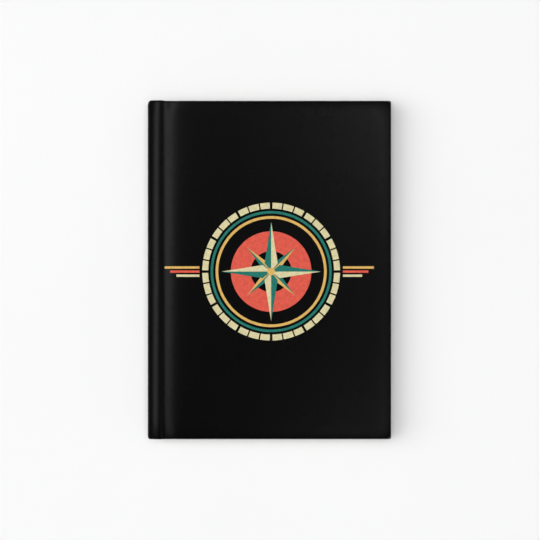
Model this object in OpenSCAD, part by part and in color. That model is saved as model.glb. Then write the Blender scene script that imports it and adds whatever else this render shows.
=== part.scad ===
// A case-bound logbook, lying closed on its back cover.
// +X runs from the spine to the fore edge, +Y from tail to head, +Z from the back cover to the front cover.
// The origin is the middle of the footprint, on the surface that the book lies on.

/* [Case] */
// Width of the closed case, from spine to fore edge
case_w = 155; // [140:1:180]
// Height of the closed case, from tail to head
case_h = 216; // [200:1:240]
// Thickness of each greyboard
board_t = 2.2; // [2:0.1:2.6]
// Thickness of the printed covering
skin_t = 0.25; // [0.2:0.05:0.3]
// Width of the covering that is folded in over each board's edges
turn_in = 15; // [12:1:18]
// How far the boards stand out past the leaves at head, tail and fore edge
square = 3; // [2:0.5:4]

/* [Joint] */
// Distance from the outside of the spine to the hinge edge of each board
joint_w = 11.5; // [11:0.5:12.5]
// Depth of the pressed groove beside the spine
groove_d = 1.8; // [1.2:0.1:2]
// Width of the rounded shoulder, from the spine's outer face to the shoulder's top
shoulder_w = 6.5; // [6:0.25:7]
// Height of the rounded shoulder's quarter ellipse
shoulder_h = 3.9; // [3.5:0.1:4.2]
// Depth of each fold axis inside the spine's outer face
hinge_in = 2.2; // [2.1:0.05:2.4]
// Height of each fold axis inside the outer face of its cover
hinge_up = 2.3; // [2.2:0.05:2.4]

/* [Leaves] */
// Distance between neighbouring leaves in a closed signature
leaf_pitch = 0.12; // [0.1:0.01:0.12]
// Thickness of one leaf
leaf_t = 0.11; // [0.08:0.01:0.11]
// Folded sheets in each signature
sheets = 4; // [3:1:4]
// Distance from one signature to the next
signature_pitch = 1; // [1:0.02:1.1]
// Thickness of each endpaper
endpaper_t = 0.12; // [0.1:0.01:0.13]

/* [Hidden] */

SIGNATURES = 9;
MIDDLE = 5;                       // the signature that lies open at the middle spread
play = 0.03;                      // air between an endpaper and what lies next to it
cover_t = 2 * skin_t + board_t;   // one cover, with the turn-in on its inner side
endpaper_z = cover_t + endpaper_t + play;
block_z = endpaper_z + endpaper_t + play;
case_t = 2 * block_z + SIGNATURES * signature_pitch;
middle_z = case_t / 2;

spine_x = -case_w / 2;
board_x = spine_x + joint_w;
crest_x = spine_x + shoulder_w;
hinge_x = spine_x + hinge_in;
fore_x = case_w / 2;
leaf_fore_x = fore_x - square;
fold_x = spine_x + 4;             // outer side of the signatures' folds
leaf_h = case_h - 2 * square;
fold_r = (sheets - 0.5) * leaf_pitch;
fold_centre_x = fold_x + fold_r + leaf_t / 2;

thread_r = 0.2;
thread_x = fold_x + 0.4;          // the middle leaves turn about the thread in their fold
stitch_r = 0.17;
mull_t = 0.15;
mull_x = fold_x - 2 * stitch_r - 0.04;
mull_h = leaf_h - 24;
mull_wing = 21;                   // how far the mull runs on to each board
mull_wing_t = 0.1;
band_t = 0.25;
band_x = mull_x - mull_t - 0.02;
band_h = 14;
band_bead_r = 0.7;
lining_t = 0.25;
lining_x = band_x - band_t - 0.02;
joint_gap = 0.15;                 // between the joint's covering and the spine's covering
crest_z = 0.1;                    // the shoulders stay just clear of the table

black = "#17171a";
grey_board = "#8d8a83";
cream = "#f3ecd8";
white = "#f4f1e8";
gauze = "#d9d2c0";
kraft = "#b08a5c";

// Repeats what is drawn for the back cover on the front cover.
module on_side(front) {
    if (front) translate([0, 0, case_t]) mirror([0, 0, 1]) children();
    else children();
}

// Draws a 2D outline in the X-Z plane, centred on Y, h long.
module along_y(h) {
    translate([0, h / 2, 0]) rotate([90, 0, 0]) linear_extrude(h) children();
}

module plate(x0, x1, h, z0, z1) {
    translate([x0, -h / 2, z0]) cube([x1 - x0, h, z1 - z0]);
}

// ---- case ----

// Greyboard, pressed in by one thickness where the turn-ins and the mull lie on it.
module board(front) {
    top = skin_t + board_t;
    color(grey_board) on_side(front) difference() {
        union() {
            plate(board_x, fore_x - skin_t, case_h - 2 * skin_t, skin_t, top);
            plate(board_x, fore_x - turn_in, case_h - 2 * turn_in, top - 0.1, cover_t);
        }
        plate(board_x - 1, board_x + mull_wing, mull_h, cover_t - mull_wing_t, cover_t + 1);
    }
}

// The covering of one board, wrapped round its head, tail and fore edge and turned in.
module cover_skin(front) {
    color(black) on_side(front) difference() {
        plate(board_x, fore_x, case_h, 0, cover_t);
        plate(board_x - 1, fore_x - skin_t, case_h - 2 * skin_t, skin_t, skin_t + board_t);
        plate(board_x - 1, fore_x - turn_in, case_h - 2 * turn_in, skin_t, cover_t + 1);
    }
}

// Outer line of the groove, from the board's edge (u = 0) to the shoulder's top (u = 1).
function groove_point(u) =
    [board_x + (crest_x - board_x) * u, crest_z * u + groove_d * pow(sin(180 * u), 2)];
// Outer line of the shoulder, from its top (a = 0) to the spine's flat face (a = 90).
function shoulder_point(a) =
    [crest_x - shoulder_w * sin(a), crest_z + shoulder_h * (1 - cos(a))];
function unit(v) = v / norm(v);
// Points moved by d to the right of the way that the line runs.
function shifted(line, d) = [for (i = [0:len(line) - 1])
    let (way = unit(line[min(i + 1, len(line) - 1)] - line[max(i - 1, 0)]))
    line[i] + d * [way[1], -way[0]]];
function reversed(line) = [for (i = [len(line) - 1:-1:0]) line[i]];
function mirrored(line) = [for (p = line) [p[0], case_t - p[1]]];

hinge_a = acos(1 - (hinge_up - crest_z) / shoulder_h);   // where the shoulder passes the fold axis
gap_a = joint_gap / shoulder_h * 30;
groove_line = [for (i = [0:14]) groove_point(i / 14)];
shoulder_low = [for (i = [1:10]) shoulder_point((hinge_a - gap_a) * i / 10)];
shoulder_high = [for (i = [0:5]) shoulder_point(hinge_a + gap_a + (90 - hinge_a - gap_a) * i / 5)];

// The covering between a board and the spine: down into the groove and over the shoulder.
module joint_skin(front) {
    line = concat(groove_line, shoulder_low);
    inner = [for (p = shifted(line, skin_t)) [min(p[0], board_x), p[1]]];
    color(black) on_side(front) along_y(case_h) polygon(concat(line, reversed(inner)));
}

spine_line = concat(shoulder_high, reversed(mirrored(shoulder_high)));

module spine_skin() {
    color(black) along_y(case_h)
        polygon(concat(spine_line, reversed(shifted(spine_line, skin_t))));
}

// The spine's own board: rounded outside to the shoulders, flat inside.
module spine_board() {
    face = shifted(spine_line, skin_t);
    inner_x = hinge_x - 0.05;
    color(grey_board) along_y(case_h - 2 * skin_t)
        polygon(concat(face, [[inner_x, face[len(face) - 1][1]], [inner_x, face[0][1]]]));
}

// ---- endpapers and leaves ----

// A folded sheet, lying open side to +X: a fold of mean radius r round (fold, 0) and two legs.
module folded_sheet(r, t) {
    difference() {
        union() {
            circle(r + t / 2, $fn = 48);
            translate([0, -r - t / 2]) square([leaf_fore_x - fold_centre_x, 2 * r + t]);
        }
        circle(r - t / 2, $fn = 48);
        translate([0, -r + t / 2]) square([leaf_fore_x - fold_centre_x + 1, 2 * r - t]);
    }
}

// One leg is pasted to the cover and the other is the free flyleaf.
module endpaper(front) {
    color(cream) on_side(front) along_y(leaf_h)
        translate([fold_centre_x, endpaper_z - play / 2])
            folded_sheet((endpaper_t + play) / 2, endpaper_t);
}

// Nested folded sheets. Signatures are counted from the front cover.
module signature(n) {
    color(white) along_y(leaf_h)
        translate([fold_centre_x, block_z + (SIGNATURES - n + 0.5) * signature_pitch])
            for (i = [1:sheets]) folded_sheet((i - 0.5) * leaf_pitch, leaf_t);
}

// The middle signature's leaves, counted from the front cover.
module middle_leaf(n) {
    z = middle_z + (sheets + 0.5 - n) * leaf_pitch;
    color(white) plate(thread_x + 2 * thread_r, leaf_fore_x, leaf_h, z - leaf_t / 2, z + leaf_t / 2);
}

// ---- sewing and spine linings ----

stations = [-88, -52, -18, 18, 52, 88];

// Long stitches in the middle fold, from station to station.
module centre_thread() {
    color(white) for (i = [0:2:4])
        translate([thread_x, stations[i], middle_z]) rotate([-90, 0, 0])
            cylinder(r = thread_r, h = stations[i + 1] - stations[i], $fn = 24);
}

// The thread that links one signature to the next, down the outside of the folds.
module link_stitches() {
    color(white) for (y = stations)
        translate([fold_x - stitch_r - 0.01, y, block_z + signature_pitch / 2])
            cylinder(r = stitch_r, h = (SIGNATURES - 1) * signature_pitch, $fn = 24);
}

module spine_mull() {
    color(gauze) plate(mull_x - mull_t, mull_x, mull_h, block_z, case_t - block_z);
}

module mull_wing(front) {
    color(gauze) on_side(front)
        plate(fold_x - 0.4, board_x + mull_wing, mull_h, cover_t - mull_wing_t, cover_t);
}

// A striped cloth roll on the end of the folds, on a strip that is glued down the spine.
module end_band(y_way) {
    bead_y = leaf_h / 2 + band_bead_r + 0.05;
    mirror([0, y_way > 0 ? 0 : 1, 0]) color("white") translate([0, 0, block_z]) {
        translate([band_x - band_t, bead_y - band_h, 0])
            cube([band_t, band_h, case_t - 2 * block_z]);
        translate([band_x - band_t + band_bead_r, bead_y, 0])
            cylinder(r = band_bead_r, h = case_t - 2 * block_z, $fn = 32);
    }
}

module spine_lining() {
    color(kraft) plate(lining_x - lining_t, lining_x, leaf_h - 4, block_z, case_t - block_z);
}

board(false);  // back_board
cover_skin(false);  // back_cover_skin
joint_skin(false);  // back_joint_skin
endpaper(false);  // back_endpaper
mull_wing(false);  // back_mull_wing
spine_board();
spine_skin();
board(true);  // front_board
cover_skin(true);  // front_cover_skin
joint_skin(true);  // front_joint_skin
endpaper(true);  // front_endpaper
mull_wing(true);  // front_mull_wing
signature(1);  // signature_1
signature(2);  // signature_2
signature(3);  // signature_3
signature(4);  // signature_4
middle_leaf(1);  // leaf_1
middle_leaf(2);  // leaf_2
middle_leaf(3);  // leaf_3
middle_leaf(4);  // leaf_4
middle_leaf(5);  // leaf_5
middle_leaf(6);  // leaf_6
middle_leaf(7);  // leaf_7
middle_leaf(8);  // leaf_8
signature(6);  // signature_6
signature(7);  // signature_7
signature(8);  // signature_8
signature(9);  // signature_9
centre_thread();
link_stitches();
spine_mull();
end_band(1);  // head_band
end_band(-1);  // tail_band
spine_lining();
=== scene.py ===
"""A case-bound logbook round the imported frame: covering, printed emblem, leaves, sewing and endpapers."""
import math

import bpy
import numpy as np
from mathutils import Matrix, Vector, noise


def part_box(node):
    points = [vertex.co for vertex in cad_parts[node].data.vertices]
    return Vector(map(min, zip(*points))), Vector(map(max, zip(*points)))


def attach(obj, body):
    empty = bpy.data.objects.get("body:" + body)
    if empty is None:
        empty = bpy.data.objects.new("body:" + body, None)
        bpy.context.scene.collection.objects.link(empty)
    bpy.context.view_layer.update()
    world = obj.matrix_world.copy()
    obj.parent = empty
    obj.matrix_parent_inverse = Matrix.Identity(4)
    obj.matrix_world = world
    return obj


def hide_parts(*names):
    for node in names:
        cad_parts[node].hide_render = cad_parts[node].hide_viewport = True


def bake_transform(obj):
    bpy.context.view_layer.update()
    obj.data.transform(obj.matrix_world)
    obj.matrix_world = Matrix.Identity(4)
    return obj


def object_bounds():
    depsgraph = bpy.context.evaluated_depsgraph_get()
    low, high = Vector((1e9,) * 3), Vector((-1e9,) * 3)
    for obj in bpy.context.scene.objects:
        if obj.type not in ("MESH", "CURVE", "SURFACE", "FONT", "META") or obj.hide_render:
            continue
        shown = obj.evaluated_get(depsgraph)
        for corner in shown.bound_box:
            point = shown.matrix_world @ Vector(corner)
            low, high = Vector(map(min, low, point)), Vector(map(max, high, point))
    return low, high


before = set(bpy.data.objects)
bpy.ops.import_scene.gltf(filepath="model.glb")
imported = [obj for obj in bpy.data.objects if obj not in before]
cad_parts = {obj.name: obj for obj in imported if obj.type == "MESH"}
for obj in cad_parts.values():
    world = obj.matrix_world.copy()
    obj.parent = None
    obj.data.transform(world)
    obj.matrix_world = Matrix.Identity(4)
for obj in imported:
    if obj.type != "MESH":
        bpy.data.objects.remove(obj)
cad_lo, cad_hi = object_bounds()
MM = 0.001


# ---------------------------------------------------------------- sizes, in mm, from the frame
def box_mm(node):
    """A node's lowest and highest corners at rest, in mm."""
    return [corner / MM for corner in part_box(node)]


def middle_z(node):
    """The height of the middle of a node, in mm."""
    lo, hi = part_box(node)
    return (lo.z + hi.z) / 2 / MM


T = cad_hi.z / MM                                       # the closed book's thickness
MID = T / 2
SPINE_X, FORE_X = cad_lo.x / MM, cad_hi.x / MM          # the spine's flat face and the fore edge
HEAD_Y = cad_hi.y / MM
leaf_lo, leaf_hi = box_mm("signature_9")
FOLD_X, LEAF_X, LEAF_Y = leaf_lo.x, leaf_hi.x, leaf_hi.y
board_lo, board_hi = box_mm("back_cover_skin")
BOARD_X, COVER_T = board_lo.x, board_hi.z               # a cover's edge at the joint, and its thickness
SHEETS, LEAF_T, PITCH = 4, 0.11, 0.12                   # a section's sheets, their thickness and spacing
FOLD_C = FOLD_X + (SHEETS - 0.5) * PITCH + LEAF_T / 2   # where a section's folds turn into its leaves
FOLD_ARC = (0, 18, 36, 54, 72, 90)                      # steps round a quarter of a fold, in degrees
CENTRE = {n: middle_z(f"signature_{n}") for n in (1, 2, 3, 4, 6, 7, 8, 9)}
STATIONS = (-88, -52, -18, 18, 52, 88)                  # sewing stations along the spine


def smooth(a, b, x):
    """0 below a, 1 above b, and an even curve between them."""
    t = min(1.0, max(0.0, (x - a) / (b - a)))
    return t * t * (3 - 2 * t)


def jitter(*key):
    """A fixed value from -1 to 1 for these numbers."""
    v = math.sin(sum(k * w for k, w in zip(key, (12.9898, 78.233, 37.719, 9.151)))) * 43758.5453
    return 2 * (v - math.floor(v)) - 1


# ---------------------------------------------------------------- meshes
class Mesh:
    """Collects vertices in mm with a UV each, and faces with a material index."""

    def __init__(self):
        self.v, self.uv, self.f, self.m = [], [], [], []

    def point(self, x, y, z, u=None, v=None):
        """Adds a vertex, with x and y as its UV unless others are given."""
        self.v.append((x, y, z))
        self.uv.append((x if u is None else u, y if v is None else v))
        return len(self.v) - 1

    def face(self, *ids, mat=0):
        self.f.append(ids)
        self.m.append(mat)

    def grid(self, rows, mat=0, flip=False):
        """Faces between neighbouring rows of vertex numbers."""
        for a, b in zip(rows, rows[1:]):
            for i in range(len(a) - 1):
                q = (a[i], a[i + 1], b[i + 1], b[i])
                self.face(*(q[::-1] if flip else q), mat=mat)

    def make(self, name, mats, angle=None):
        """The Blender object, in metres. Edges sharper than angle, in degrees, are shaded sharp."""
        me = bpy.data.meshes.new(name)
        me.from_pydata([(x * MM, y * MM, z * MM) for x, y, z in self.v], [], self.f)
        layer = me.uv_layers.new(name="UVMap")
        corners = np.array(self.uv, np.float32)[[i for f in self.f for i in f]] * MM
        layer.data.foreach_set("uv", corners.ravel())
        for mat in mats if isinstance(mats, list) else [mats]:
            me.materials.append(mat)
        me.polygons.foreach_set("material_index", self.m)
        me.polygons.foreach_set("use_smooth", [True] * len(self.f))
        me.update()
        if angle is not None:
            me.set_sharp_from_angle(angle=math.radians(angle))
        ob = bpy.data.objects.new(name, me)
        bpy.context.scene.collection.objects.link(ob)
        return ob


def mirror_z(mesh):
    """Turns a piece of the back half into the same piece of the front half."""
    mesh.v = [(x, y, T - z) for x, y, z in mesh.v]
    mesh.f = [tuple(reversed(f)) for f in mesh.f]


# ---------------------------------------------------------------- materials
def lin(r, g, b):
    """sRGB numbers from 0 to 255 as a linear colour."""
    f = lambda c: c / 12.92 if c <= 0.04045 else ((c + 0.055) / 1.055) ** 2.4
    return (f(r / 255), f(g / 255), f(b / 255), 1.0)


def grey(level, blue=None):
    """A linear grey, with its blue a little different if given."""
    return (level, level, level if blue is None else blue, 1)


class Shader:
    """A Principled material with short calls for its nodes."""

    def __init__(self, name, rough=0.5, on_frame=False, **sockets):
        self.mat = bpy.data.materials.new(name)
        self.mat.use_nodes = True
        self.nt = self.mat.node_tree
        self.p = self.nt.nodes["Principled BSDF"]
        self.p.inputs["Roughness"].default_value = rough
        for key, value in sockets.items():
            self.p.inputs[key.replace("_", " ")].default_value = value
        # the mesh's own coordinates in metres: its UV map, or its rest position on a piece of the frame
        if on_frame:
            self.uv = self.node("ShaderNodeTexCoord", {}, out="Object")
        else:
            self.uv = self.node("ShaderNodeUVMap", {}, uv_map="UVMap")

    def put(self, socket, value):
        """Links or sets an input. None leaves it as it is."""
        if isinstance(value, bpy.types.NodeSocket):
            self.nt.links.new(value, socket)
        elif value is not None:
            socket.default_value = value

    def node(self, kind, values, out=0, **settings):
        """One output of a new node, whose inputs get these values by name or number."""
        n = self.nt.nodes.new(kind)
        for key, value in settings.items():
            setattr(n, key, value)
        for key, value in values.items():
            self.put(n.inputs[key], value)
        return n.outputs[out]

    def math(self, op, a, b=None, c=None):
        return self.node("ShaderNodeMath", {0: a, 1: b, 2: c}, operation=op)

    def product(self, a, b):
        return self.math("MULTIPLY", a, b)

    def weighted(self, a, b, share):
        """a and b added, with share of b and the rest of a."""
        return self.math("ADD", self.product(a, 1 - share), self.product(b, share))

    def between(self, value, lo, hi):
        return self.product(self.math("GREATER_THAN", value, lo), self.math("LESS_THAN", value, hi))

    def split(self, vector):
        outputs = self.node("ShaderNodeSeparateXYZ", {0: vector}).node.outputs
        return outputs[0], outputs[1]

    def scaled(self, x, y):
        """The coordinates, scaled differently along x and y."""
        return self.node("ShaderNodeVectorMath", {0: self.uv, 1: (x, y, 1.0)}, operation="MULTIPLY")

    def noise(self, vector, scale, detail=3.0, rough=0.55):
        return self.node("ShaderNodeTexNoise",
                         {"Vector": vector, "Scale": scale, "Detail": detail, "Roughness": rough})

    def voronoi(self, vector, scale):
        return self.node("ShaderNodeTexVoronoi", {"Vector": vector, "Scale": scale}, out="Distance")

    def ramp(self, value, *stops):
        """Colours by value: each stop is (position, colour)."""
        output = self.node("ShaderNodeValToRGB", {0: value})
        elements = output.node.color_ramp.elements
        while len(elements) < len(stops):
            elements.new(0.5)
        for element, (position, color) in zip(elements, stops):
            element.position, element.color = position, color
        return output

    def remap(self, value, lo, hi, new_lo, new_hi):
        """value from lo to hi as new_lo to new_hi."""
        return self.node("ShaderNodeMapRange", {0: value, 1: lo, 2: hi, 3: new_lo, 4: new_hi})

    def mix(self, share, a, b):
        """Colour a, with share of colour b."""
        return self.node("ShaderNodeMix", {0: share, 6: a, 7: b}, out=2, data_type="RGBA")

    def bump(self, height, strength, distance, normal=None):
        return self.node("ShaderNodeBump",
                         {"Strength": strength, "Distance": distance, "Height": height, "Normal": normal})

    def done(self, color, rough=None, normal=None):
        self.put(self.p.inputs["Base Color"], color)
        self.put(self.p.inputs["Roughness"], rough)
        self.put(self.p.inputs["Normal"], normal)
        return self.mat


PEBBLES = 1500          # grains to a metre, across the covering and the ink on it


def covering_material():
    """Black leatherette: close pebble grain with soft wrinkles, satin."""
    s = Shader("black_leatherette", Specular_IOR_Level=0.25)
    cells = s.voronoi(s.uv, PEBBLES)
    fine = s.noise(s.uv, 2600, 2)
    soft = s.noise(s.scaled(1.0, 0.6), 38, 3)
    mottle = s.noise(s.uv, 190, 4, 0.65)
    color = s.ramp(s.weighted(mottle, soft, 0.3), (0.30, grey(0.0004, 0.0005)), (0.70, grey(0.0014, 0.0015)))
    rough = s.remap(s.weighted(mottle, soft, 0.4), 0.3, 0.7, 0.29, 0.23)
    grain = s.math("ADD", cells, s.product(fine, 0.35))
    wrinkles = s.bump(s.math("ADD", soft, s.product(mottle, 0.25)), 0.16, 0.00035)
    return s.done(color, rough, s.bump(grain, 0.12, 0.00010, wrinkles))


def ink_material(name, color, deep):
    """Printed ink on the covering: it keeps the grain and varies a little."""
    s = Shader(name, Specular_IOR_Level=0.35)
    cells = s.voronoi(s.uv, PEBBLES)
    mottle = s.noise(s.uv, 420, 4, 0.7)
    flecks = s.noise(s.uv, 3200, 2)
    shade = s.ramp(mottle, (0.25, deep), (0.62, color))
    shade = s.mix(s.remap(flecks, 0.62, 0.78, 0.0, 0.16), shade, deep)
    return s.done(shade, s.remap(mottle, 0.3, 0.7, 0.56, 0.46), s.bump(cells, 0.16, 0.00008))


# the form printed on each page, in metres from the middle of the closed book
FORM_X, FORM_Y = (-0.062, 0.0665), 0.0905               # its left and right ends, and half its height
HEADING_Y = (0.0759, 0.0897)                            # the tinted heading, with the rows below it
HALF_ROW = 0.0036                                       # half the rows' spacing
ROW_W, HEAVY_W, COLUMN_W = 0.00011, 0.0003, 0.00017     # half the lines' widths
HEAVY_ROWS = (0.0756, 0.0900, -0.0900)
COLUMNS = (-0.0615, -0.0430, -0.0245, -0.0060, 0.0065, 0.0190, 0.0315, 0.0440, 0.0660)


def ruled(s, shade):
    """Adds the form's heading, rows and columns to a page's shade."""
    u, v = s.split(s.uv)
    inside = s.product(s.math("LESS_THAN", s.math("ABSOLUTE", v), FORM_Y), s.between(u, *FORM_X))
    rows = s.math("LESS_THAN", s.math("PINGPONG", v, HALF_ROW), ROW_W)
    lines = s.product(rows, s.math("LESS_THAN", v, HEADING_Y[0]))
    for at in HEAVY_ROWS:
        lines = s.math("MAXIMUM", lines, s.math("COMPARE", v, at, HEAVY_W))
    for at in COLUMNS:
        lines = s.math("MAXIMUM", lines, s.math("COMPARE", u, at, COLUMN_W))
    heading = s.product(s.between(v, *HEADING_Y), inside)
    shade = s.mix(s.product(heading, 0.55), shade, lin(201, 214, 214))
    return s.mix(s.product(s.product(lines, inside), 0.75), shade, lin(112, 128, 138))


def paper_material(name, color, warm, form=False, on_frame=False):
    """Uncoated paper: fibres and faint clouding, with the printed form on the leaves' faces."""
    s = Shader(name, rough=0.82, on_frame=on_frame, Specular_IOR_Level=0.25)
    cloud = s.noise(s.uv, 60, 4, 0.6)
    fibre = s.noise(s.scaled(1.0, 0.35), 2400, 3, 0.7)
    shade = s.ramp(s.weighted(cloud, fibre, 0.4), (0.34, warm), (0.62, color))
    if form:
        shade = ruled(s, shade)
    return s.done(shade, s.remap(fibre, 0.3, 0.7, 0.9, 0.74), s.bump(fibre, 0.25, 0.00003))


def cloth_material(name, color, deep, pitch, on_frame=False):
    """Plain-woven cloth: threads over and under each other, pitch apart in metres."""
    s = Shader(name, rough=0.85, on_frame=on_frame, Specular_IOR_Level=0.2)
    across, along = (s.math("SINE", s.product(w, math.tau / pitch)) for w in s.split(s.uv))
    weave = s.remap(s.product(across, along), -1.0, 1.0, 0.0, 1.0)
    fuzz = s.noise(s.uv, 1800, 3, 0.7)
    shade = s.mix(s.product(weave, 0.8), deep, color)
    shade = s.mix(s.remap(fuzz, 0.4, 0.7, 0.0, 0.35), shade, deep)
    height = s.math("ADD", weave, fuzz)
    return s.done(shade, s.remap(fuzz, 0.3, 0.7, 0.92, 0.78), s.bump(height, 0.5, 0.0001))


def thread_material(name, a, b, pitch, ply=0.00028):
    """Wound thread in two colours that repeat every pitch, with its plies ply apart, in metres."""
    s = Shader(name, rough=0.6, Specular_IOR_Level=0.3)
    u, v = s.split(s.uv)
    side = s.math("GREATER_THAN", s.math("SINE", s.product(v, math.tau / pitch)), 0.0)
    slant = s.math("ADD", v, s.product(u, 0.25))
    twist = s.math("SINE", s.product(slant, math.tau / ply))
    fuzz = s.noise(s.uv, 2500, 3, 0.7)
    shade = s.mix(s.remap(fuzz, 0.35, 0.75, 0.0, 0.35), s.mix(side, a, b), grey(0.02))
    height = s.math("ADD", twist, fuzz)
    return s.done(shade, s.remap(fuzz, 0.3, 0.7, 0.7, 0.5), s.bump(height, 0.5, 0.00008))


def board_material():
    """Greyboard: pressed pulp with darker flecks."""
    s = Shader("greyboard", rough=0.9, Specular_IOR_Level=0.2)
    pulp = s.noise(s.uv, 900, 5, 0.75)
    fleck = s.noise(s.scaled(1, 2.5), 2400, 2)
    shade = s.ramp(pulp, (0.3, lin(118, 112, 103)), (0.7, lin(158, 152, 142)))
    shade = s.mix(s.remap(fleck, 0.64, 0.74, 0, 0.6), shade, lin(84, 80, 74))
    return s.done(shade, s.remap(pulp, 0.3, 0.7, 0.95, 0.82), s.bump(pulp, 0.5, 0.0001))


def kraft_material():
    """Brown kraft paper with long fibres."""
    s = Shader("kraft_lining", rough=0.85, Specular_IOR_Level=0.25)
    fibre = s.noise(s.scaled(1.0, 0.15), 1500, 4, 0.7)
    shade = s.ramp(fibre, (0.3, lin(150, 112, 72)), (0.7, lin(190, 150, 104)))
    return s.done(shade, s.remap(fibre, 0.3, 0.7, 0.92, 0.78), s.bump(fibre, 0.4, 0.00006))


COVER = covering_material()
PAGE = paper_material("page_paper", lin(245, 242, 232), lin(232, 227, 212), form=True)
ENDS = paper_material("endpaper", lin(236, 228, 206), lin(220, 210, 184), on_frame=True)
GAUZE = (lin(226, 218, 198), lin(120, 112, 96), 0.0011)     # its colour, its holes' colour and its pitch
MULL = cloth_material("mull_gauze", *GAUZE)
MULL_WING = cloth_material("mull_wing_gauze", *GAUZE, on_frame=True)
KRAFT = kraft_material()
BOARD = board_material()
BAND = thread_material("band_thread", lin(232, 228, 216), lin(30, 30, 32), 0.0018)
THREAD = thread_material("sewing_thread", lin(236, 232, 220), lin(220, 214, 198), 0.0006)
INK = {
    "cream": ink_material("ink_cream", lin(213, 205, 161), lin(190, 180, 134)),
    "teal": ink_material("ink_teal", lin(14, 114, 101), lin(10, 92, 82)),
    "ochre": ink_material("ink_ochre", lin(215, 175, 94), lin(192, 148, 74)),
    "coral": ink_material("ink_coral", lin(217, 86, 68), lin(192, 68, 54)),
}


# ---------------------------------------------------------------- covering, in one piece on each half
SIDE = ("back", "front")
SPINE_PAST = 0.35                           # how far the spine's head stands past the boards
HALF_H = HEAD_Y - SPINE_PAST
CLOTH = 0.46                                # two layers of covering at the joint, with its turn-in
FACE_Z = 4.0                                # where the spine's flat face turns into its shoulder
CREST_X, CREST_Z = SPINE_X + 8.4, 0.45      # the top of the shoulder
SHOULDER, BOW = 5.6, 0.0265                 # the reach and the bow of the shoulder beside its top
GROOVE_X, GROOVE_Z = CREST_X + 1.2, 1.15    # the bottom of the groove
GROOVE_FADE, GROOVE_POWER = 5.6, 2.1        # how its depth fades out over the board
EDGE_R, INNER_R, SPINE_R = 0.95, 0.6, 0.2   # roundings: a board's outer and inner edges, and the spine's ends
INNER_U = 400                               # moves the inner sides' grain away from that of the outer ones


def groove_z(x):
    """Height of the back covering's outer face above the table, from the shoulder's top to the board."""
    if x < GROOVE_X:
        return CREST_Z + (GROOVE_Z - CREST_Z) * smooth(CREST_X, GROOVE_X, x)
    return GROOVE_Z / (1 + ((x - GROOVE_X) / GROOVE_FADE) ** GROOVE_POWER)


def relief(x, y, d):
    """The slight unevenness of the pressed board, d from its head or tail. It fades out towards the edges."""
    flat = min(1.0, max(0.0, (x - BOARD_X - 1) / 8)) * smooth(0, 8, FORE_X - x) * smooth(0, 8, d)
    return 0.035 * flat * noise.noise(Vector((x / 34, y / 46, 3.1)))


def edge_drop(d):
    """How far the covering's face falls away near a board's edge, d from that edge."""
    return 0.42 * max(0.0, 1 - d / 9.0) ** 2


def spine_drop(d):
    """How far the spine's shoulder and the joint fall away near the head or tail, d from it."""
    return 0.7 * max(0.0, 1 - d / 14.0) ** 2


def spine_outline():
    """Outer points (x, z) of the back half's section, from the middle of the spine to the board's edge."""
    line = [(SPINE_X, MID - (MID - FACE_Z) * i / 4) for i in range(5)]
    x0, z0 = CREST_X - SHOULDER, CREST_Z + BOW * SHOULDER ** 2
    knee = z0 + 2 * BOW * SHOULDER * (x0 - SPINE_X)
    for i in range(1, 13):
        t = i / 12
        a, b, c = (1 - t) ** 2, 2 * t * (1 - t), t ** 2
        line.append((a * SPINE_X + b * SPINE_X + c * x0, a * FACE_Z + b * knee + c * z0))
    for i in range(1, 13):
        x = x0 + SHOULDER * i / 12
        line.append((x, CREST_Z + BOW * (CREST_X - x) ** 2))
    xs = [CREST_X + (GROOVE_X - CREST_X) * i / 8 for i in range(1, 9)]
    xs += [GROOVE_X + (BOARD_X - GROOVE_X) * i / 12 for i in range(1, 13)]
    return line + [(x, groove_z(x)) for x in xs]


def board_outline():
    """Points over the back board: (outer x, z), (inner x, z), and its share of a board's rounding."""
    line = []
    first = BOARD_X + 0.6
    for x in [BOARD_X + d for d in (0.6, 1.2, 2, 3, 4.5, 6, 8, 10, 12.5, 15, 18)]:
        line.append(((x, groove_z(x)), (BOARD_X + 0.05 + 0.9 * (x - first), COVER_T),
                     smooth(BOARD_X, BOARD_X + 6, x)))
    x = BOARD_X + 21
    while x < FORE_X - 7:
        line.append(((x, groove_z(x)), (x, COVER_T), 1.0))
        x += 3.4
    for d in (6.5, 5, 4, 3, 2.2, 1.5):
        line.append(((FORE_X - d, edge_drop(d)), (FORE_X - d, COVER_T), 1.0))
    z0 = edge_drop(EDGE_R)
    for i in range(7):
        s, c = math.sin(math.radians(15 * i)), 1 - math.cos(math.radians(15 * i))
        line.append(((FORE_X - EDGE_R + EDGE_R * s, z0 + EDGE_R * c),
                     (FORE_X - INNER_R + INNER_R * s, COVER_T - INNER_R * c), 1.0))
    edge = (FORE_X, (line[-1][0][1] + line[-1][1][1]) / 2)
    return line + [(edge, edge, 1.0)]


def section_line():
    """The back half's whole section. The inner side of the spine and joint runs beside the outer one."""
    spine, board = spine_outline(), board_outline()
    outer = spine + [board[0][0]]
    line = []
    for i, o in enumerate(spine):
        a, b = outer[max(i - 1, 0)], outer[i + 1]
        along = Vector((b[0] - a[0], b[1] - a[1])).normalized()
        line.append((o, (o[0] - along.y * CLOTH, o[1] + along.x * CLOTH), 0.0))
    return line + board


def height_steps():
    """Steps (y, distance to the end, inset) from tail to head: rounded ends, soft fall, then even steps."""
    half = [(EDGE_R * (1 - math.sin(a)), EDGE_R * (1 - math.cos(a)))
            for a in map(math.radians, (90, 72, 54, 36, 18, 0))]
    half += [(d, 0.0) for d in (1.5, 2.2, 3, 4, 5, 6, 8, 10, 13, 16, 20)]
    d = 24.0
    while d < HALF_H - 2:
        half.append((d, 0.0))
        d += 4.2
    return [(-HALF_H + d, d, i) for d, i in half] + [(HALF_H - d, d, i) for d, i in reversed(half)]


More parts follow.
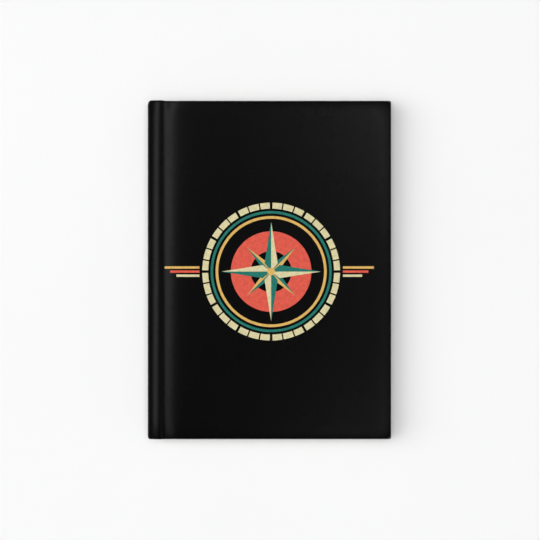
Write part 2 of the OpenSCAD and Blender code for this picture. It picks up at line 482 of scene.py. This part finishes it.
def half_height(x, head):
    """Half the covering's height at x. The spine's corners are rounded, more at the head."""
    corner, past = (2.4, SPINE_PAST) if head else (1.1, 0.05)
    end = HALF_H + past * (1 - smooth(CREST_X, BOARD_X + 1, x))
    c = corner - min(corner, max(0.0, x - SPINE_X))
    return end - (corner - math.sqrt(max(0.0, corner ** 2 - c ** 2)))


def cover_half():
    """The back half of the covering, from the middle of the spine round the board's fore edge and inside."""
    line = section_line()
    lengths = [0.0]
    for a, b in zip(line, line[1:]):
        lengths.append(lengths[-1] + math.dist(a[0], b[0]))
    m = Mesh()
    outer_rows, inner_rows = [], []
    for y, d, inset in height_steps():
        outer, inner = [], []
        for (o, n, share), length in zip(line, lengths):
            thick = Vector((n[0] - o[0], n[1] - o[1]))
            way = thick / thick.length if thick.length > 1e-6 else Vector((-1, 0))
            k = min(inset, SPINE_R) + (inset - min(inset, SPINE_R)) * share
            inner_k = min(k, INNER_R)
            soft = spine_drop(d) * (1 - share)
            drop = edge_drop(d) * share + soft
            at_fore = o[0] > FORE_X - 1.0
            end_y = y * half_height(o[0], y > 0) / HALF_H
            x = o[0] + (-k if at_fore else way.x * k)
            z = o[1] + way.y * (k + drop) + relief(o[0], y, d)
            outer.append(m.point(x, end_y, z, length, y))
            x = n[0] - (inner_k if at_fore else way.x * inner_k)
            z = n[1] - way.y * (inner_k - (0 if share else soft))
            inner.append(m.point(x, end_y, z, length + INNER_U, y))
        outer_rows.append(outer)
        inner_rows.append(inner)
    m.grid(outer_rows)
    m.grid(inner_rows, flip=True)
    m.grid([outer_rows[0], inner_rows[0]], flip=True)
    m.grid([outer_rows[-1], inner_rows[-1]])
    m.grid([[row[-1] for row in outer_rows], [row[-1] for row in inner_rows]])
    return m


def covering(front):
    """Half of the covering."""
    m = cover_half()
    if front:
        mirror_z(m)
    side = SIDE[front]
    ob = m.make(side + "_covering", COVER)
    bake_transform(ob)
    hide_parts(side + "_cover_skin", side + "_joint_skin", *(["spine_skin"] if front else []))


covering(False)
covering(True)


# ---------------------------------------------------------------- boards, inside the covering
def cover_board(front):
    """Greyboard: it follows the covering's face, a little below it, and is slightly uneven."""
    outer_gap, inner_gap, edge_gap, lumps, inner_u = 0.34, 0.28, 0.55, 0.03, 300
    x0, x1, end = BOARD_X + 0.5, FORE_X - edge_gap, HALF_H - edge_gap
    xs = [x0 + (x1 - x0) * i / 30 for i in range(31)]
    m = Mesh()
    outer, inner = [], []
    for y in [-end + 2 * end * i / 40 for i in range(41)]:
        row = []
        for x in xs:
            z = groove_z(x) + edge_drop(min(FORE_X - x, HALF_H - abs(y))) + outer_gap
            row.append(m.point(x, y, z + lumps * noise.noise(Vector((x / 9, y / 9, 1)))))
        outer.append(row)
        inner.append([m.point(x, y, COVER_T - inner_gap, x + inner_u, y) for x in xs])
    m.grid(outer)
    m.grid(inner, flip=True)
    for i in (0, -1):
        m.grid([[row[i] for row in outer], [row[i] for row in inner]], flip=i == 0)
        m.grid([outer[i], inner[i]], flip=i == -1)
    if front:
        mirror_z(m)
    side = SIDE[front]
    ob = m.make(side + "_greyboard", BOARD, angle=40)
    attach(ob, side + "_case")
    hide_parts(side + "_board")


cover_board(False)
cover_board(True)


# ---------------------------------------------------------------- printed emblem
DIAL_X, DIAL_Y = 1.2, -1.0              # the dial's middle
FILM = 0.022                            # thickness of a layer of ink
MARK, LONG_MARK = 0.6, 1.15             # half angles of the gaps between the bezel's parts, in degrees
STRIPE, STRIPE_GAP = 0.75, 2.6          # half a stripe's width, and the stripes' spacing


def emblem():
    """A dial with a compass rose, and three stripes to each side."""
    m = Mesh()
    inks = list(INK)

    def dot(x, y, layer):
        z = T - groove_z(x) - relief(x, y, HALF_H - abs(y)) + FILM + FILM * layer
        return m.point(x, y, z, x, y)

    def polar(r, degrees):
        t = math.radians(degrees)
        return (DIAL_X + r * math.cos(t), DIAL_Y + r * math.sin(t))

    def patch(a, b, c, d, ink, layer=0, step=2.5):
        """The four-sided area a, b, c, d, turning left, in faces about a step wide."""
        nu = max(1, math.ceil(max(math.dist(a, b), math.dist(d, c)) / step))
        nv = max(1, math.ceil(max(math.dist(a, d), math.dist(b, c)) / step))
        rows = []
        for j in range(nv + 1):
            v = j / nv
            left = [p + (q - p) * v for p, q in zip(a, d)]
            right = [p + (q - p) * v for p, q in zip(b, c)]
            points = [[p + (q - p) * i / nu for p, q in zip(left, right)] for i in range(nu + 1)]
            rows.append([dot(x, y, layer) for x, y in points])
        m.grid(rows, mat=inks.index(ink))

    def ring(r0, r1, ink, a0=0.0, a1=360.0, layer=0):
        """A ring, or its part from a0 to a1 in degrees, in faces about 1.1 mm long."""
        n = max(2, math.ceil((a1 - a0) * max(r1, 8) / 57.3 / 1.1))
        k = max(1, math.ceil((r1 - r0) / 2.5))
        rows = []
        for i in range(n + 1):
            t = a0 + (a1 - a0) * i / n
            rows.append([dot(*polar(r0 + (r1 - r0) * j / k, t), layer) for j in range(k + 1)])
        m.grid(rows, mat=inks.index(ink), flip=True)

    def rose(turn, reach, waist, spread, middle, core, left_ink, layer):
        """Four points of the compass rose, each with a lighter and a darker half."""
        for t in (turn + 90 * k for k in range(4)):
            for half, ink in ((-1, left_ink), (1, "teal")):
                tip, side = polar(reach, t), polar(waist, t + half * spread)
                mid, root = polar(middle, t), polar(core, t)
                corners = (root, side, tip, mid) if half < 0 else (root, mid, tip, side)
                patch(*corners, ink, layer=layer)

    # bezel: a cream ring cut by the dial's marks, longer at every thirty degrees
    for k in range(36):
        before, after = (LONG_MARK if n % 3 == 0 else MARK for n in (k, k + 1))
        ring(40.0, 43.8, "cream", 10 * k + before, 10 * k + 10 - after)
    ring(36.9, 38.5, "teal")
    ring(33.6, 35.3, "ochre")
    ring(13.0, 25.6, "coral")
    rose(45, 21.5, 6.6, 22, 9, 0.6, "ochre", layer=1)
    rose(0, 31.6, 6.8, 38, 10, 0.3, "cream", layer=2)
    ring(0.0, 2.4, "ochre", layer=3)
    for way in (-1, 1):
        for row, (reach, ink) in enumerate(((66.5, "ochre"), (63.0, "coral"), (59.0, "cream"))):
            y = DIAL_Y + STRIPE_GAP - STRIPE_GAP * row
            x0, x1 = sorted((DIAL_X + way * 45.6, way * reach))
            patch((x0, y - STRIPE), (x1, y - STRIPE), (x1, y + STRIPE), (x0, y + STRIPE), ink, step=1.6)
    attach(m.make("printed_emblem", [INK[ink] for ink in inks]), "front_case")


emblem()


# ---------------------------------------------------------------- solids in mm, added to a Mesh
def strip(m, path, y0, y1, half):
    """A flat band that follows path (x, z) with its faces half away, from y0 to y1."""
    left, right = [], []
    for i, (x, z) in enumerate(path):
        (ax, az), (bx, bz) = path[max(i - 1, 0)], path[min(i + 1, len(path) - 1)]
        n = Vector((az - bz, bx - ax)).normalized() * half
        left.append((x + n.x, z + n.y))
        right.append((x - n.x, z - n.y))
    rows = [[m.point(x, y, z) for x, z in left + right[::-1]] for y in (y0, y1)]
    m.grid([row + row[:1] for row in rows])
    n = len(path)
    for row, back in zip(rows, (False, True)):
        for i in range(n - 1):
            q = (row[i], row[2 * n - 1 - i], row[2 * n - 2 - i], row[i + 1])
            m.face(*(q[::-1] if back else q))


def upright(m, x0, x1, y0, y1, z0, z1, mat=0, steps=4):
    """A thin upright slab across the thickness of the leaves."""
    rows = []
    for i in range(steps + 1):
        z = z0 + (z1 - z0) * i / steps
        corners = ((x0, y0), (x1, y0), (x1, y1), (x0, y1))
        rows.append([m.point(x, y, z, z, y + (x - x0)) for x, y in corners])
    m.grid([row + row[:1] for row in rows], mat=mat)
    m.face(*rows[0][::-1], mat=mat)
    m.face(*rows[-1], mat=mat)


def rod(m, points, radii, sides=8, mat=0, wound=0.0):
    """A round rod through points, with a radius at each. wound is where its UV starts along it."""
    rows, length = [], 0.0
    for i, (p, r) in enumerate(zip(points, radii)):
        a, b = Vector(points[max(i - 1, 0)]), Vector(points[min(i + 1, len(points) - 1)])
        d = (b - a).normalized()
        side = d.cross(Vector((0.31, 0.17, 0.93)) if abs(d.z) < 0.9 else Vector((1, 0, 0))).normalized()
        other = d.cross(side)
        if i:
            length += (Vector(p) - Vector(points[i - 1])).length
        row = []
        for k in range(sides + 1):
            t = math.tau * k / sides
            q = Vector(p) + (side * math.cos(t) + other * math.sin(t)) * r
            row.append(m.point(q.x, q.y, q.z, r * t, length + wound))
        rows.append(row)
    m.grid(rows, mat=mat)
    m.face(*rows[0][:-1][::-1], mat=mat)
    m.face(*rows[-1][:-1], mat=mat)


# ---------------------------------------------------------------- spine board
stiff_lo, stiff_hi = box_mm("spine_board")
STIFF_X = max(stiff_lo.x, SPINE_X + 0.5)            # the spine board's outer face
STIFF_END = LEAF_Y - 0.4                            # half its height
STIFF_LO, STIFF_HI = stiff_lo.z + 0.1, stiff_hi.z - 0.1


def spine_board():
    """The greyboard in the spine, with its outer edges eased."""
    x0, x1, ease_x, ease_z = STIFF_X, stiff_hi.x, 0.35, 0.7
    ring = [(x0 + ease_x, STIFF_LO), (x1, STIFF_LO), (x1, STIFF_HI), (x0 + ease_x, STIFF_HI),
            (x0, STIFF_HI - ease_z), (x0, STIFF_LO + ease_z)]
    m = Mesh()
    ys = [-STIFF_END + 2 * STIFF_END * i / 30 for i in range(31)]
    rows = [[m.point(x, y, z, z, y) for x, z in ring] for y in ys]
    m.grid([row + row[:1] for row in rows], flip=True)
    m.face(*rows[0])
    m.face(*rows[-1][::-1])
    ob = m.make("spine_greyboard", BOARD, angle=30)
    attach(ob, "spine")
    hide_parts("spine_board")


def spine_turn_ins():
    """The covering folded in over the spine board's two ends."""
    x1, end = stiff_hi.x + 0.16, STIFF_END + 0.18
    m = Mesh()
    for way in (-1, 1):
        path = [(x1 + 0.02, end - 14.5), (x1, end - 8), (x1, end - 2), (x1, end - 0.5),
                (x1 - 0.14, end - 0.14), (x1 - 0.5, end),
                ((STIFF_X + x1) / 2, end + 0.02), (SPINE_X + 0.25, end)]
        strip(m, [(x, way * y) for x, y in path], STIFF_LO, STIFF_HI, 0.12)
    # the strip was made along y from a path in x and z, so its y and z change places
    m.v = [(x, z, y) for x, y, z in m.v]
    m.f = [f[::-1] for f in m.f]
    ob = m.make("spine_turn_ins", COVER, angle=50)
    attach(ob, "spine")


spine_board()
spine_turn_ins()


# ---------------------------------------------------------------- folded sections, sewing, bands and linings
ORDER = ((None, 9), (9, 8), (8, 7), (7, 6), (6, None))     # from a board to the middle of the book
BLOCK_Z = COVER_T + 0.32                            # where the bands and strips start, above the endpaper
TONGUE_Z = 5.6                                      # the bands' tongues and the stitches stay below this
BEAD_R = 0.70
BEAD_X, BEAD_Y = FOLD_X + BEAD_R + 0.02, box_mm("head_band")[1].y - 0.72
TONGUE_Y = 95.0
mull_lo, mull_hi = box_mm("spine_mull")
lining_lo, lining_hi = box_mm("spine_lining")


def number(n, front):
    """The number of a section of the back half, or of its twin in the front half."""
    return 10 - n if front else n


def section_body(n, front):
    """The body that a section, or the cover where n is None, rides on."""
    return SIDE[front] + "_case" if n is None else f"signature_{number(n, front)}_body"


def settle(ob, a, b, front):
    """Where b is None, a piece rides on section a's body; otherwise it stays fixed where it is."""
    if b is None:
        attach(ob, section_body(a, front))
    else:
        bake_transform(ob)


def label(a, b, front):
    """The end of a piece's name, between the middles of sections a and b."""
    if a is None:
        return f"{number(b, front)}_outer"
    if b is None:
        return f"{number(a, front)}_inner"
    return f"{number(a, front)}_{number(b, front)}"


def fold_path(r, centre, way):
    """A quarter of a fold of radius r, as (x, z), from the spine to where its leaf starts."""
    return [(FOLD_C - r * math.cos(t), centre + way * r * math.sin(t)) for t in map(math.radians, FOLD_ARC)]


def leaf_strip(m, path, *key):
    """A leaf along path, with a slightly uneven head and tail."""
    y0, y1 = -LEAF_Y + 0.1 - 0.1 * jitter(*key, 3.0), LEAF_Y - 0.1 + 0.1 * jitter(*key, 5.0)
    strip(m, path, y0, y1, LEAF_T / 2)


def half_section(m, n, way, front):
    """Half of a section, above or below its centre: a quarter of each of its folds, and that fold's leaf."""
    for k in range(SHEETS):
        r = (k + 0.5) * PITCH
        key = (n + way * 0.31, k, 1.0 if front else 2.0)
        xs = (-60, -20, 25, LEAF_X - 0.12 + 0.12 * jitter(*key))
        leaf_strip(m, fold_path(r, CENTRE[n], way) + [(x, CENTRE[n] + way * r) for x in xs], *key)


def block_leaves(a, b, front):
    """The leaves between the middles of sections a and b."""
    m = Mesh()
    if a:
        half_section(m, a, 1, front)
    if b:
        half_section(m, b, -1, front)
    return m


def block_bands(a, z0, z1):
    """The head and tail bands' beads, which taper to the boards, and their tongues glued down the spine."""
    m = Mesh()
    taper = (0.55, 0.9) if a is None else (1.0, 1.0)
    radii = [BEAD_R * share for share in taper + (1.0,) * 5]
    for way in (1, -1):
        y = way * BEAD_Y
        rod(m, [(BEAD_X, y, z0 + (z1 - z0) * i / 6) for i in range(7)], radii, sides=14, wound=z0)
        if z1 < TONGUE_Z:
            y0, y1 = sorted((way * TONGUE_Y, y + way * 0.2))
            upright(m, lining_hi.x + 0.02, mull_lo.x - 0.02, y0, y1, z0, z1)
    return m


def spine_strips(a, b, z0, z1):
    """The mull, the kraft lining and the link stitches across the sections' backs."""
    m = Mesh()
    top = min(z1, CENTRE[7])
    if z0 < top:
        for mat, (lo, hi) in enumerate(((mull_lo, mull_hi), (lining_lo, lining_hi))):
            upright(m, lo.x, hi.x, lo.y, hi.y, z0, top, mat=mat)
    if a and b and z1 < TONGUE_Z:
        for y in STATIONS:
            points = [(mull_hi.x + 0.16, y, z0 + (z1 - z0) * i / 4) for i in range(5)]
            rod(m, points, [0.13] * 5, sides=6, mat=2)
    return m


def build_block(front):
    """Half of the text block, cut at the middles of its sections."""
    for a, b in ORDER:
        z0 = BLOCK_Z if a is None else CENTRE[a]
        z1 = MID if b is None else CENTRE[b]
        sections = [f"signature_{number(n, front)}" for n in (a, b) if n]
        strips = ("spine_mull", "spine_lining", "link_stitches")
        for kind, mesh, mats, slot, nodes in (
                ("leaves_", block_leaves(a, b, front), PAGE, "page_paper", sections),
                ("end_bands_", block_bands(a, z0, z1), BAND, "band", ("head_band", "tail_band")),
                ("spine_strips_", spine_strips(a, b, z0, z1), [MULL, KRAFT, THREAD], "mull", strips)):
            if mesh.f:
                if front:
                    mirror_z(mesh)
                ob = mesh.make(kind + label(a, b, front), mats, angle=35)
                settle(ob, a, b, front)
                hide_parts(*nodes)


build_block(False)
build_block(True)


# ---------------------------------------------------------------- the middle section's leaves
# how far from the fold each leaf's close-set steps run: short for leaves 1 to 4, long for 5 to 8
BEND = {1: 0.8, 2: 1.0, 3: 1.2, 4: 1.5, 5: 24.0, 6: 26.0, 7: 28.0, 8: 30.0}


def middle_leaf(n):
    """A leaf of the middle section, with its quarter of a fold."""
    over = n < 5
    way, k = (1, 4 - n) if over else (-1, n - 5)
    steps, power = (16, 1.0) if over else (44, 1.3)
    r = (k + 0.5) * PITCH
    xs = [FOLD_C + BEND[n] * (i / steps) ** power for i in range(1, steps + 1)]
    bend_x = xs[-1]
    xs += [bend_x + (LEAF_X - bend_x) * i / 6 for i in range(1, 6)]
    xs.append(LEAF_X - 0.1 + 0.1 * jitter(n, 7.0))
    m = Mesh()
    leaf_strip(m, fold_path(r, MID, way) + [(x, MID + way * r) for x in xs], n)
    ob = m.make(f"turning_leaf_{n}", PAGE, angle=35)
    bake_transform(ob)
    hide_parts(f"leaf_{n}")


for n in range(1, 9):
    middle_leaf(n)


def centre_thread():
    """Three stitches of two-strand thread along the middle fold."""
    strand_r, off, lay = 0.085, 0.075, 1.3          # each strand's radius, distance off the middle, and turn
    step, proud, sink, sink_y = 0.16, 0.16, 0.35, 1.2   # at its ends, a stitch sinks into the paper
    m = Mesh()
    for y0, y1 in zip(STATIONS[::2], STATIONS[1::2]):
        for turn in (0.0, math.pi):
            steps = int((y1 - y0) / step)
            points = []
            for i in range(steps + 1):
                y = y0 + (y1 - y0) * i / steps
                t = math.tau * (y - y0) / lay + turn
                dip = sink * (1 - smooth(0, sink_y, min(y - y0, y1 - y)))
                points.append((FOLD_C + proud - dip + off * math.cos(t), y, MID + off * math.sin(t)))
            rod(m, points, [strand_r] * len(points), sides=6)
    ob = m.make("centre_stitches", THREAD)
    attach(ob, "signature_6_body")
    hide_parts("centre_thread")


centre_thread()

# the frame's own endpapers and mull wings keep their shape and get a finish
for side in SIDE:
    for node, mat in ((side + "_endpaper", ENDS), (side + "_mull_wing", MULL_WING)):
        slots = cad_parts[node].data.materials
        slots.clear()
        slots.append(mat)


# ---------------------------------------------------------------- floor, lights, world and camera
def make_floor():
    """A wide white floor, just under the book."""
    reach = 20000
    m = Mesh()
    m.grid([[m.point(x, y, -0.02) for x in (-reach, reach)] for y in (-reach, reach)])
    s = Shader("floor", rough=0.9, Specular_IOR_Level=0.1)
    cloud = s.noise(s.uv, 4, 2)
    m.make("floor", s.done(s.ramp(cloud, (0.3, grey(0.86, 0.865)), (0.7, grey(0.875, 0.88)))))


def put_light(name, light, place, way):
    """A light at place that shines along way."""
    ob = bpy.data.objects.new(name, light)
    ob.location = place
    ob.rotation_euler = Vector(way).to_track_quat("-Z", "Y").to_euler()
    bpy.context.scene.collection.objects.link(ob)
    return ob


def strip_light(name, place, length, width, power):
    """A strip along the spine that the covering mirrors, turned to the book."""
    light = bpy.data.lights.new(name, "AREA")
    light.shape, light.size, light.size_y, light.energy = "RECTANGLE", length, width, power
    put_light(name, light, place, -Vector(place))


def wide_light(name, elevation, azimuth, softness, power):
    """Soft daylight for the floor and paper, from azimuth (0 is +X, 90 is +Y). The gloss doesn't show it."""
    light = bpy.data.lights.new(name, "SUN")
    light.energy, light.angle = power, math.radians(softness)
    e, a = math.radians(elevation), math.radians(azimuth)
    way = (-math.cos(e) * math.cos(a), -math.cos(e) * math.sin(a), -math.sin(e))
    ob = put_light(name, light, (0, 0, 1), way)
    ob.visible_glossy = False


def make_world():
    """A studio that is pale round the horizon and dark overhead."""
    sky = ((0.10, 1.0), (0.20, 0.22), (0.45, 0.22), (0.86, 0.02))      # (height, brightness)
    world = bpy.data.worlds.new("studio")
    world.use_nodes = True
    nodes, links = world.node_tree.nodes, world.node_tree.links
    coords, parts, ramp = (nodes.new("ShaderNode" + kind) for kind in ("TexCoord", "SeparateXYZ", "ValToRGB"))
    background = nodes["Background"]
    links.new(coords.outputs["Generated"], parts.inputs[0])
    links.new(parts.outputs[2], ramp.inputs[0])
    links.new(ramp.outputs[0], background.inputs["Color"])
    background.inputs["Strength"].default_value = 0.95
    elements = ramp.color_ramp.elements
    while len(elements) < len(sky):
        elements.new(0.5)
    for element, (at, brightness) in zip(elements, sky):
        element.position, element.color = at, grey(brightness)
    bpy.context.scene.world = world
    bpy.context.scene.view_settings.view_transform = "Standard"


def make_camera():
    """Straight above the book, wide enough for frame_w metres at mid_z, about the middle of its thickness."""
    cam_z, mid_z, frame_w, sensor = 1.1, 0.008, 0.3454, 36
    cam = bpy.data.cameras.new("camera")
    cam.sensor_width = sensor
    cam.lens = sensor * (cam_z - mid_z) / frame_w
    cam.clip_start, cam.clip_end = 0.05, 20
    ob = bpy.data.objects.new("camera", cam)
    ob.location = (0.00047, 0, cam_z)
    bpy.context.scene.collection.objects.link(ob)
    bpy.context.scene.camera = ob


make_floor()
wide_light("left_light", 40, 178, 50, 1.62)
wide_light("top_light", 88, 90, 40, 1.34)
wide_light("head_light", 45, 90, 50, 0.16)
wide_light("tail_light", 45, 270, 50, 0.30)
strip_light("left_strip", (-0.54, 0.155, 1.30), 1.07, 0.32, 2.2)
strip_light("right_panel", (0.225, 0.22, 1.30), 0.34, 0.17, 0.36)
strip_light("low_right_panel", (0.225, -0.26, 1.30), 0.36, 0.16, 0.23)
make_world()
make_camera()
